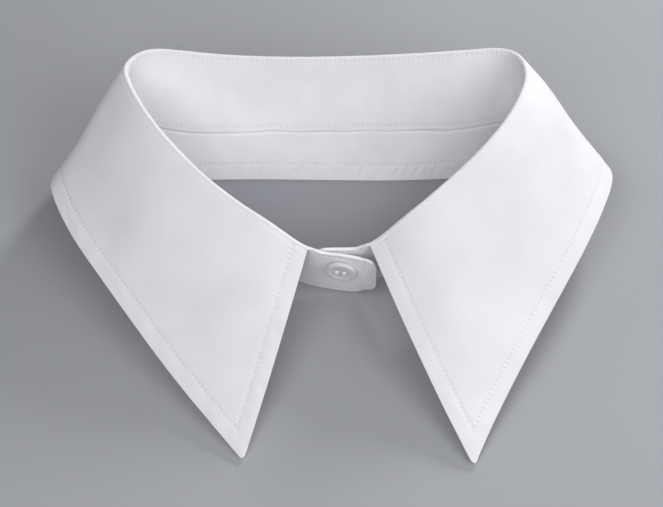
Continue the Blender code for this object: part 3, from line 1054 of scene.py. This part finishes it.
stripCreases = [
    Crease(-46.0, 8.0, 7.0, 2.4, 0.30, 70.0),
    Crease(-22.0, 10.0, 7.0, 2.2, -0.20, 112.0),
    Crease(8.0, 7.0, 6.0, 2.0, 0.30, 64.0),
    Crease(24.0, 9.0, 8.0, 2.6, 0.30, 118.0),
    Crease(41.0, 8.0, 8.0, 2.4, -0.30, 58.0),
    Crease(-90.0, 10.0, 7.0, 3.0, 0.25, 96.0),
    Crease(92.0, 10.0, 7.0, 3.0, 0.25, 84.0),
]


def stripProfile(u):
    _, _, start, _, down, foot = collarLine(u)
    top = start + down * (leafRise + seamGap + standDepth(u) - stripTuck)[:, None]
    return np.stack([top, foot], axis=1)


def stripDepth(u):
    line = stripProfile(u)
    return lengthsOf(line[:, 1] - line[:, 0])[:, 0]


def stripHeight(u, s):
    # behind the stand's edge, then forward; below that a hollow, puckers in the hem, waves and creases
    above = stripDepth(u) - s
    inHem = (np.clip(above / 3.0, 0.15, 1.0)
             * np.exp(-((above - strip["puckerAboveFoot"]) / strip["puckerWidth"]) ** 2))
    body = np.clip(above / 8.0, 0.0, 1.0)
    uneven = 0.6 + 0.4 * waves(u, 0.0 * u, 19.0, 37) + 0.2 * np.clip(-u / 60.0, -1.0, 1.0)
    slant = u + 0.5 * s + 0.5 * waves(u, 0.0 * u, 9.0, 31)
    drawn = np.sin(2.0 * math.pi * slant / strip["puckerPitch"])
    gap = strip["forwardBelow"] + strip["forwardWave"] * waves(u, 0.0 * u, 34.0, 41)
    return (strip["behindStand"] / (1.0 + np.exp((s - stripTuck - gap) / strip["forwardWithin"]))
            - strip["hollow"] * np.exp(-((s - strip["hollowBelow"]) / strip["hollowWidth"]) ** 2)
            + strip["puckerDepth"] * inHem * uneven * drawn
            + strip["puckerHeight"] * inHem * waves(u + 0.8 * s, 0.25 * s, strip["puckerSize"], 23)
            + body * (creasesAt(stripCreases, u, s)
                      + strip["waveHeight"] * waves(u, s, strip["waveSize"], 29)))


def stripWall(u, s):
    aboveStitches = stripDepth(u) - s - strip["stitchAboveFoot"]
    groove = np.exp(-(aboveStitches / strip["sinkWidth"]) ** 2)
    hem = 1.0 / (1.0 + np.exp((aboveStitches - 1.2) / 0.3))
    return np.clip(strip["wall"] + strip["hemWall"] * hem - strip["stitchSink"] * groove, 0.1, 1.0)


def makeStrip(path):
    around = spaced(-strip["end"], strip["end"], strip["wideStep"])
    depth = stripDepth(around)[:, None]
    near = strip["seamDepth"]
    s = np.concatenate([0.0 * depth + spaced(0.0, near, strip["seamStep"])[None],
                        near + (depth - near) * np.linspace(0.0, 1.0, 32)[None, 1:]], axis=1)
    return clothPiece("strip_cloth", stripForm, around[:, None] + 0.0 * s, s, whitePoplin, path)


def stripStitchPath():
    u = np.linspace(1.0 - strip["end"], strip["end"] - 1.0, 2500)
    return u, stripDepth(u) - strip["stitchAboveFoot"]


stripForm = measureForm(strip, stripProfile, stripHeight, stripWall, lambda u, s: stripDepth(u) - s,
                        strip["stitchAboveFoot"], (-strip["end"], strip["end"]), strip["reach"])
stripPath = stripStitchPath()
stripCloth = makeStrip(stripPath)
stripThread = sewnThrough("strip_thread", stripForm, stripPath)
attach(stripCloth, "root")
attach(stripThread, "root")
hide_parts("neck_strip")
print("strip laid and stitched")


# Button: four holes, sewn to the right tab through the left tab's buttonhole
button = {
    "diameter": 11.5,
    "thickness": 1.8,
    "dish": 0.24,
    "dishSlope": 1.1,         # the rim slopes down to the dish over this width
    "rim": 1.5,
    "edgeRadius": 0.6,
    "softEdge": 0.10,
    "hole": 1.6,
    "holeSpacing": 2.7,
    "fromTabEnd": 13.4,
    "belowTop": 9.8,
    "threadRadius": 0.20,
    "strands": 4,
    "strandSpacing": 1.7,     # times the thread's radius
    "barRise": 0.42,          # of a bar of thread, times half its length
    "barBehind": 1.7,         # where the bars lie behind the right tab's front
    "shankRadius": 1.0,
    "shankTurns": 9,
    "shankRidge": 0.12,
}


def buttonSeat():
    # where the middle of the button's back is, in front of the left tab, and which way it faces
    at = np.array([knots[0] + button["fromTabEnd"]])
    _, out, start, _, down, _ = [part[0] for part in collarLine(at)]
    front = np.cross(np.cross(down, out), down)
    front /= np.linalg.norm(front)
    place = start + down * button["belowTop"] + front * (stand["thickness"] / 2.0 + seamGap)
    across = np.cross(front, down)
    turn = Matrix((Vector(across), Vector(-down), Vector(front))).transposed().to_4x4()
    return Matrix.Translation(Vector(place * mm)) @ turn


def buttonProfile():
    radius, edge = button["diameter"] / 2.0, button["edgeRadius"]
    inner = radius - button["rim"]
    points = [(0.0, 0.0)]
    for height, first in ((edge, -90.0), (button["thickness"] - edge, 0.0)):
        for turn in np.linspace(0.0, 90.0, 7):
            angle = math.radians(first + turn)
            points.append((radius - edge + edge * math.cos(angle), height + edge * math.sin(angle)))
    for share in np.linspace(0.0, 1.0, 7):
        drop = button["dish"] * (1.0 - math.cos(math.pi * share)) / 2.0
        points.append((inner - button["dishSlope"] * share, button["thickness"] - drop))
    points.append((0.0, button["thickness"] - button["dish"]))
    return points


def spunPiece(points, steps):
    # a profile of (radius, height) in millimetres, turned once round the button's axis
    bm = bmesh.new()
    verts = [bm.verts.new((x * mm, 0.0, z * mm)) for x, z in points]
    lines = [bm.edges.new(pair) for pair in zip(verts, verts[1:])]
    bmesh.ops.spin(bm, geom=verts + lines, axis=(0.0, 0.0, 1.0), cent=(0.0, 0.0, 0.0),
                   angle=2.0 * math.pi, steps=steps, use_merge=True)
    bmesh.ops.remove_doubles(bm, verts=bm.verts[:], dist=0.00001)
    return bm


def makeButton(seat):
    piece = finishedPiece("button_resin", spunPiece(buttonProfile(), 96), whiteResin)
    half = button["holeSpacing"] / 2.0
    drills = []
    for x, y in ((-half, -half), (half, -half), (half, half), (-half, half)):
        bm = bmesh.new()
        bmesh.ops.create_cone(bm, cap_ends=True, segments=24, radius1=button["hole"] * mm / 2.0,
                              radius2=button["hole"] * mm / 2.0, depth=8.0 * mm,
                              matrix=Matrix.Translation((x * mm, y * mm, 0.0)))
        drill = finishedPiece("drill", bm, whiteResin)
        cut = piece.modifiers.new("drill", "BOOLEAN")
        cut.operation = "DIFFERENCE"
        cut.solver = "EXACT"
        cut.object = drill
        drills.append(drill)
    bpy.context.view_layer.update()
    drilled = bpy.data.meshes.new_from_object(piece.evaluated_get(bpy.context.evaluated_depsgraph_get()))
    piece.modifiers.clear()
    piece.data = drilled
    for drill in drills:
        bpy.data.objects.remove(drill, do_unlink=True)
    drilled.transform(seat)
    drilled.shade_smooth()
    drilled.set_sharp_from_angle(angle=math.radians(35.0))
    softEdge(piece, button["softEdge"], 2)
    return piece


def threadBar(bm, place, radius, rise):
    # one strand from hole to hole, as half a flattened ring
    made = bmesh.ops.create_circle(bm, segments=8, radius=button["threadRadius"] * mm,
                                   matrix=Matrix.Translation((0.0, radius * mm, 0.0)))
    ring = made["verts"]
    sides = [edge for edge in bm.edges if edge.verts[0] in ring and edge.verts[1] in ring]
    spun = bmesh.ops.spin(bm, geom=ring + sides, axis=(1.0, 0.0, 0.0), cent=(0.0, 0.0, 0.0),
                          angle=math.pi, steps=12)
    ends = [item for item in spun["geom_last"] if isinstance(item, bmesh.types.BMEdge)]
    bmesh.ops.holes_fill(bm, edges=sides + ends, sides=0)
    verts = list({vert for vert in bm.verts if not vert.tag})
    for vert in verts:
        vert.co.z *= rise
    bmesh.ops.transform(bm, matrix=place, verts=verts)
    for vert in verts:
        vert.tag = True


def makeButtonThread(seat, tabFront):
    # two bars of strands on the front, and the same on the back of the right tab
    bm = bmesh.new()
    half = button["holeSpacing"] / 2.0
    floor = button["thickness"] - button["dish"]
    for place, height, flip in ((seat, floor, 1.0), (tabFront, -button["barBehind"], -1.0)):
        for x in (-half, half):
            for strand in range(button["strands"]):
                fromMiddle = strand - (button["strands"] - 1) / 2.0
                shift = fromMiddle * button["strandSpacing"] * button["threadRadius"]
                lift = 0.05 * (strand % 2)
                spot = Matrix.Translation(((x + shift) * mm, 0.0, (height + flip * lift) * mm))
                threadBar(bm, place @ spot @ Matrix.Diagonal((1.0, 1.0, flip, 1.0)), half, button["barRise"])
    return finishedPiece("button_thread", bm, whiteThread)


def frontOfRightTab(seat):
    # the place on the right tab's front that lies behind the button
    u = np.linspace(knots[-1] - 20.0, knots[-1] - 2.0, 40)
    point, _, _ = layOn(standForm, u, button["belowTop"] + overFold(u))
    local = [seat.inverted() @ Vector(spot * mm) for spot in point]
    behind = min(local, key=lambda spot: abs(spot.x))
    return seat @ Matrix.Translation((0.0, 0.0, behind.z + 0.5 * stand["thickness"] * mm))


def makeShank(seat, tabFront):
    # the thread wound round the stalk between the button and the right tab
    back = (seat.inverted() @ tabFront.to_translation()).z / mm
    front = 0.1
    points = [(0.0, back)]
    for share in np.linspace(0.0, 1.0, button["shankTurns"] * 4 + 1):
        ridge = abs(math.sin(math.pi * share * button["shankTurns"]))
        points.append((button["shankRadius"] + button["shankRidge"] * ridge,
                       back * (1.0 - share) + front * share))
    points.append((0.0, front))
    bm = spunPiece(points, 20)
    bmesh.ops.transform(bm, matrix=seat, verts=bm.verts[:])
    return finishedPiece("button_shank", bm, whiteThread)


buttonhole = {
    "length": 13.0,
    "pastMiddle": 1.2,        # the slit starts this far past the button's middle, towards the tab's end
    "pitch": 0.46,
    "stitch": 1.25,
    "fromSlit": 0.72,
    "barStitches": 5,
    "barHalf": 0.8,
}


def makeButtonhole():
    # close stitches along both sides of the slit and a bar across each end, on both faces of the tab
    start = knots[0] + button["fromTabEnd"] - buttonhole["pastMiddle"]
    middle = button["belowTop"] + overFold(np.array([start]))[0]
    count = int(buttonhole["length"] / buttonhole["pitch"])
    bars = buttonhole["barStitches"]
    rows = []
    for row in (-1.0, 1.0):
        s = np.full(count, middle + row * buttonhole["fromSlit"])
        rows.append((start + np.arange(count) * buttonhole["pitch"], s, 0.0, 0.5))
    for end in (start - 0.3, start + buttonhole["length"] - 0.1):
        s = middle + np.linspace(-buttonhole["barHalf"], buttonhole["barHalf"], bars)
        rows.append((np.full(bars, end), s, 0.5, 0.0))
    stitches = []
    for side in (1.0, -1.0):
        for u, s, stepU, stepS in rows:
            point, normal, wall = layOn(standForm, u, s)
            beside, _, _ = layOn(standForm, u + stepU, s + stepS)
            point = point + normal * (side * wall * stand["thickness"] / 2.0)[:, None]
            stitches += list(zip(point, beside - point, normal * side))
    return sewnThread("buttonhole_thread", stitches, buttonhole["stitch"])


seat = buttonSeat()
tabFront = frontOfRightTab(seat)
buttonPieces = [makeButton(seat), makeButtonThread(seat, tabFront), makeShank(seat, tabFront),
                makeButtonhole()]
for piece in buttonPieces:
    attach(piece, "root")
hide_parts("button")
print("button sewn on")
